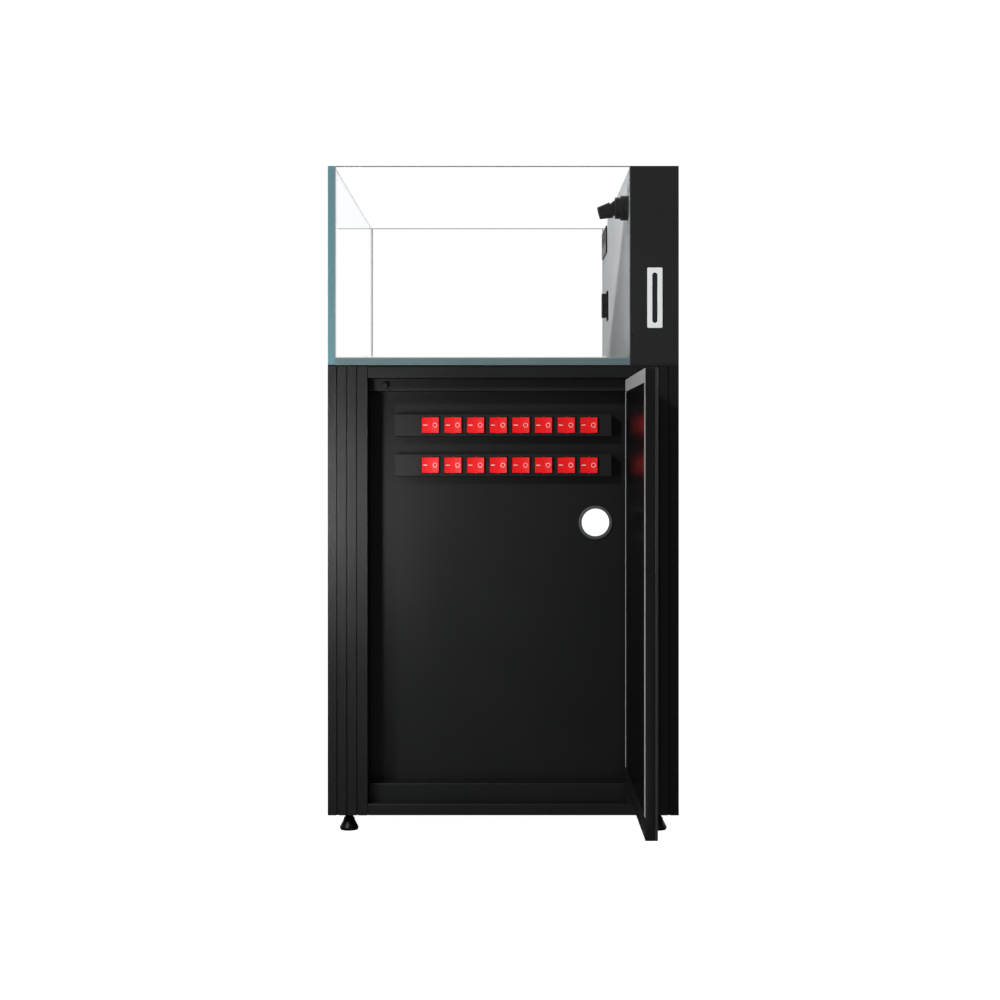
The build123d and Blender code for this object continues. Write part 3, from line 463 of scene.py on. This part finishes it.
def solids_of(node):
    """Bounding corners of each loose solid in a CAD node, sorted by place."""
    mesh = frame["nodes"][node].data
    copy = bpy.data.objects.new("loose", mesh.copy())
    bpy.context.collection.objects.link(copy)
    bpy.ops.object.select_all(action="DESELECT")
    copy.select_set(True)
    bpy.context.view_layer.objects.active = copy
    bpy.ops.object.mode_set(mode="EDIT")
    bpy.ops.mesh.select_all(action="SELECT")
    bpy.ops.mesh.remove_doubles(threshold=0.00001)
    bpy.ops.mesh.separate(type="LOOSE")
    bpy.ops.object.mode_set(mode="OBJECT")
    boxes = []
    for loose in list(bpy.context.selected_objects):
        points = [v.co for v in loose.data.vertices]
        low = Vector([min(p[i] for p in points) for i in range(3)])
        high = Vector([max(p[i] for p in points) for i in range(3)])
        boxes.append((low, high))
        bpy.data.objects.remove(loose)
    boxes.sort(key=lambda pair: tuple(round(c, 4) for c in pair[0]))
    return boxes


pane("front_pane", *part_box("front_glass"), 0, ["front_glass"])
pane("base_pane", *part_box("base_glass"), 2, ["base_glass"], edge=shaded_base_edge)
near_end, far_end = sorted(solids_of("end_glasses"), key=lambda pair: pair[0][1])
pane("near_end_pane", *near_end, 1, ["end_glasses"], inner=True)
pane("far_end_pane", *far_end, 1, ["end_glasses"], inner=True)
for node, made in (("silicone_seams", silicone_clear), ("sump_tank", sump_face)):
    frame["nodes"][node].data.materials.clear()
    frame["nodes"][node].data.materials.append(made)
print("panes made")

# %% [markdown]
# ## Eased edges
# Extrusions, boards and mouldings never have razor edges, and it is the narrow rounded edge that
# catches the light and draws a thin bright line along a black part. The frame's shapes are right, so
# each of these pieces starts as a copy of its CAD mesh: doubles are merged, flat faces are joined, and
# a bevel rounds what is left. The face rails and the sill get the widest, so that a broad light runs
# along them, and the grooved posts and thin mouldings the narrowest.

# %% Eased copies
def eased(name, node, width, body=ROOT, coat=None, segments=2, sharp=35):
    """A copy of a CAD node with rounded edges, in the same finish, in its place."""
    source = frame["nodes"][node]
    piece = bpy.data.objects.new(name, source.data.copy())
    piece.data.name = name
    bpy.context.collection.objects.link(piece)
    bpy.ops.object.select_all(action="DESELECT")
    piece.select_set(True)
    bpy.context.view_layer.objects.active = piece
    bpy.ops.object.mode_set(mode="EDIT")
    bpy.ops.mesh.select_all(action="SELECT")
    bpy.ops.mesh.remove_doubles(threshold=0.00002)
    bpy.ops.mesh.dissolve_limited(angle_limit=radians(1))
    bpy.ops.object.mode_set(mode="OBJECT")
    bevel(piece, width, segments, sharp)
    smooth(piece, sharp)
    flatten(piece)
    if coat:
        piece.data.materials.clear()
        piece.data.materials.append(coat)
    return keep(piece, body, [node])


EASES = {
    "corner_posts": ("grooved_posts", 0.0003), "face_rails": ("eased_rails", 0.0020),
    "top_beams": ("eased_top_beams", 0.0006), "bottom_beams": ("eased_bottom_beams", 0.0020),
    "partition_panel": ("eased_partition", 0.0004), "far_end_panel": ("eased_far_panel", 0.0006),
    "top_board": ("eased_top_board", 0.0006), "base_board": ("eased_base_board", 0.0006),
    "rear_panel": ("eased_rear_panel", 0.0005), "levelling_mat": ("foam_mat", 0.0008),
    "overflow_end_plates": ("eased_end_plates", 0.0006), "overflow_back_panel": ("eased_back_plate", 0.0006),
    "overflow_floor": ("eased_overflow_floor", 0.0004), "rear_wall": ("eased_rear_wall", 0.0005),
    "slotted_bracket": ("eased_bracket", 0.0003), "power_boards": ("eased_power_boards", 0.0005),
    "switch_bezels": ("eased_bezels", 0.0003), "return_pump": ("eased_pump", 0.0010),
    "valve_body": ("eased_valve_body", 0.0008), "bulkhead_fittings": ("eased_fittings", 0.0008),
}
for node, (name, width) in EASES.items():
    made = eased(name, node, width)
    print(name, len(made.data.polygons), "faces")

# %% [markdown]
# The fittings inside the tank are matt black mouldings, and the latches and pivots are blackened, so
# their copies change their finish as well. A moving piece rides on its own body.

# %% Black mouldings and pieces that move
eased("eased_return_fitting", "return_bulkhead", 0.0008, coat=tank_black)
eased("eased_nozzle", "return_nozzle", 0.0006, body="return_nozzle", coat=tank_black)
eased("eased_comb", "weir_comb", 0.0004, body="weir_comb", coat=tank_black)
eased("eased_probe_holder", "probe_holder", 0.0010, coat=tank_black)
eased("eased_latches", "push_latches", 0.0008, coat=laminate)
eased("eased_pivots", "door_pivots", 0.0006, coat=laminate)
eased("eased_handwheel", "valve_handwheel", 0.0012, body="valve_handwheel")
eased("near_front_door", "front_door_near", 0.0008, body="front_door_near")
eased("far_front_door", "front_door_far", 0.0008, body="front_door_far")

# %% [markdown]
# ## End door
# The door is a core with a paler skin outside and a gloss panel let into its inner face. The border
# round that panel, at its top and down its sides, is painted pale grey: a painted reflection, with
# painted edge highlights, on what is glossy black. It is the same piece as the core, so the painted
# reflection is a second finish on the faces that look out of the inner side. Two cuts across the
# core, level with the panel's ends, give the painted reflection its lower limit.

# %% End door
core = eased("eased_door_core", "end_door_core", 0.0008, body="end_door")
core.data.materials.append(painted_reflection_border)
inner_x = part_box("end_door_core")[0][0]
panel_low, panel_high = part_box("end_door_liner")
bpy.context.view_layer.objects.active = core
bpy.ops.object.mode_set(mode="EDIT")
for level in (panel_low[2], panel_high[2]):
    bpy.ops.mesh.select_all(action="SELECT")
    bpy.ops.mesh.bisect(plane_co=(0, 0, level), plane_no=(0, 0, 1))
bpy.ops.object.mode_set(mode="OBJECT")
# Faces of the core that look out of the inner side, above the panel's lower end, get the painted reflection.
PAINTED_BAND_REACH = 0.001
painted_band_faces = 0
for face in core.data.polygons:
    if face.normal.x < -FACING and face.center.x < inner_x + PAINTED_BAND_REACH and face.center.z > panel_low[2]:
        face.material_index = 1
        painted_band_faces += 1
eased("eased_door_skin", "end_door_skin", 0.0006, body="end_door", coat=skin_black)
eased("gloss_panel", "end_door_liner", 0.0003, body="end_door")
# The count is of the faces with the painted reflection.
print("door made,", painted_band_faces, "trim faces")

# %% [markdown]
# ## Rockers
# A rocker is a shallow V that turns on two small trunnions, with a bar moulded into one half and a
# ring into the other. It starts as a cube: one cut down the middle, and the middle of its face pushed
# back, makes the V. It is modelled once about its own pivot. Sixteen copies, each with its own mesh,
# are then turned to one end of their travel and moved to their pivots.

# %% Rocker model
ROCKER = (0.030, 0.027)
ROCKER_RISE, ROCKER_VALLEY, ROCKER_BACK = 0.0026, 0.0005, 0.006
BAR_PLACE, RING_PLACE = -0.0092, 0.0080
BAR = (0.0072, 0.0006, 0.0015)
RING_R, RING_WIRE = 0.0036, 0.0005
MARK_SINK = 0.0001
PADDLE_EASE, MARK_EASE = 0.0005, 0.0002
TRUNNION_R, TRUNNION_PROUD = 0.0009, 0.0018


def face_depth(x):
    """How far the V face lies in front of the pivot at x."""
    return -ROCKER_VALLEY - (ROCKER_RISE - ROCKER_VALLEY) * abs(x) / (ROCKER[0] / 2)


def rocker_model():
    """One rocker about its pivot, with its marks."""
    half = ROCKER[0] / 2
    paddle = start_block("rocker", (-half, -ROCKER_RISE, -ROCKER[1] / 2), (half, ROCKER_BACK, ROCKER[1] / 2))
    bpy.ops.object.mode_set(mode="EDIT")
    bpy.ops.mesh.select_all(action="SELECT")
    bpy.ops.mesh.bisect(plane_co=(0, 0, 0), plane_no=(1, 0, 0))
    bpy.ops.mesh.select_mode(type="VERT")
    bpy.ops.mesh.select_all(action="DESELECT")
    bpy.ops.object.mode_set(mode="OBJECT")
    for vertex in paddle.data.vertices:
        vertex.select = abs(vertex.co.x) < NEAR and vertex.co.y < 0
    bpy.ops.object.mode_set(mode="EDIT")
    bpy.ops.transform.translate(value=(0, ROCKER_RISE - ROCKER_VALLEY, 0))
    bpy.ops.object.mode_set(mode="OBJECT")
    bevel(paddle, PADDLE_EASE, 3, 40)
    smooth(paddle, 40)
    flatten(paddle)
    paddle.data.materials.append(rocker_red)
    reach = ROCKER[1] / 2 + TRUNNION_PROUD
    pins = start_rod("trunnions", (0, 0, 0), TRUNNION_R, 2 * reach, sides=24)
    bevel(pins, MARK_EASE, 1)
    pins.data.materials.append(rocker_red)
    slope = (ROCKER_RISE - ROCKER_VALLEY) / half
    bar = start_block("bar", [-size / 2 for size in BAR], [size / 2 for size in BAR])
    bevel(bar, MARK_EASE, 1)
    bar.data.materials.append(mark_pale)
    bar.data.transform(Matrix.Rotation(slope, 4, "Z"))
    bar.data.transform(Matrix.Translation((BAR_PLACE, face_depth(BAR_PLACE) + MARK_SINK, 0)))
    bpy.ops.object.select_all(action="DESELECT")
    bpy.ops.mesh.primitive_torus_add(major_radius=RING_R, minor_radius=RING_WIRE, major_segments=32,
                                     minor_segments=8, rotation=(pi / 2, 0, 0))
    ring = bpy.context.object
    bpy.ops.object.transform_apply(location=True, rotation=True, scale=True)
    ring.data.materials.append(mark_pale)
    ring.data.transform(Matrix.Rotation(-slope, 4, "Z"))
    ring.data.transform(Matrix.Translation((RING_PLACE, face_depth(RING_PLACE) + MARK_SINK, 0)))
    smooth(ring, 60)
    return join([paddle, pins, bar, ring])


model = rocker_model()
for row in JOINTS:
    if not row["child"].startswith("rocker_"):
        continue
    name = row["child"]
    tilt = radians(row["range_deg"][1]) / 2
    copy = bpy.data.objects.new("switch_" + name, model.data.copy())
    bpy.context.collection.objects.link(copy)
    copy.data.transform(Matrix.Translation(PIVOT[name]) @ Matrix.Rotation(-tilt, 4, "Z"))
    keep(copy, name, [name])
bpy.data.objects.remove(model)
print("rockers made")

# %% [markdown]
# ## Turned shapes
# A levelling foot is a turned part. It can be spun from an outline, or grown: a cylinder is a start,
# and its end face is then extruded and scaled again and again, one ring for each change of radius.
# Growing keeps the centre at the middle of the cylinder, so nothing has to be lined up afterwards.

# %% Feet
def grow(piece, centre, rings):
    """Extrudes the top face of an upright cylinder through (height, radius) rings."""
    top = max(vertex.co.z for vertex in piece.data.vertices)
    radius = max((vertex.co - Vector(centre)).xy.length for vertex in piece.data.vertices)
    select_faces(piece, lambda spot, normal: normal.z > FACING and spot.z > top - NEAR)
    for height, wide in rings:
        bpy.ops.mesh.extrude_region_move(TRANSFORM_OT_translate={"value": (0, 0, height - top)})
        ratio = wide / radius
        bpy.ops.transform.resize(value=(ratio, ratio, 1), center_override=(centre[0], centre[1], height))
        top, radius = height, wide
    leave_edit()


BELL = [(0.0040, 0.0160), (0.0052, 0.0157), (0.0085, 0.0140), (0.0125, 0.0119), (0.0165, 0.0100),
        (0.0200, 0.0091), (0.0210, 0.0088), (0.0210, 0.0072)]
THREAD_PITCH = 0.0015
THREAD_DEPTH = 0.0007
STEM_R = 0.0072
FOOT_START_Z, FOOT_START_R, FOOT_START_LENGTH = 0.0006, 0.0150, 0.0012
PAD = (0.0024, 0.0160)
for foot in ("near_front", "near_rear", "far_front", "far_rear"):
    low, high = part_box("foot_" + foot)
    middle = ((low[0] + high[0]) / 2, (low[1] + high[1]) / 2, 0)
    start = (middle[0], middle[1], FOOT_START_Z)
    piece = start_rod("turned_foot_" + foot, start, FOOT_START_R, FOOT_START_LENGTH, sides=48)
    rings = [PAD] + BELL
    height = BELL[-1][0]
    while height + THREAD_PITCH < high[2]:
        rings += [(height + THREAD_PITCH / 2, STEM_R - THREAD_DEPTH), (height + THREAD_PITCH, STEM_R)]
        height += THREAD_PITCH
    grow(piece, middle, rings)
    smooth(piece, 50)
    keep(piece, "foot_" + foot, ["foot_" + foot], [foot_black])
print("feet made")
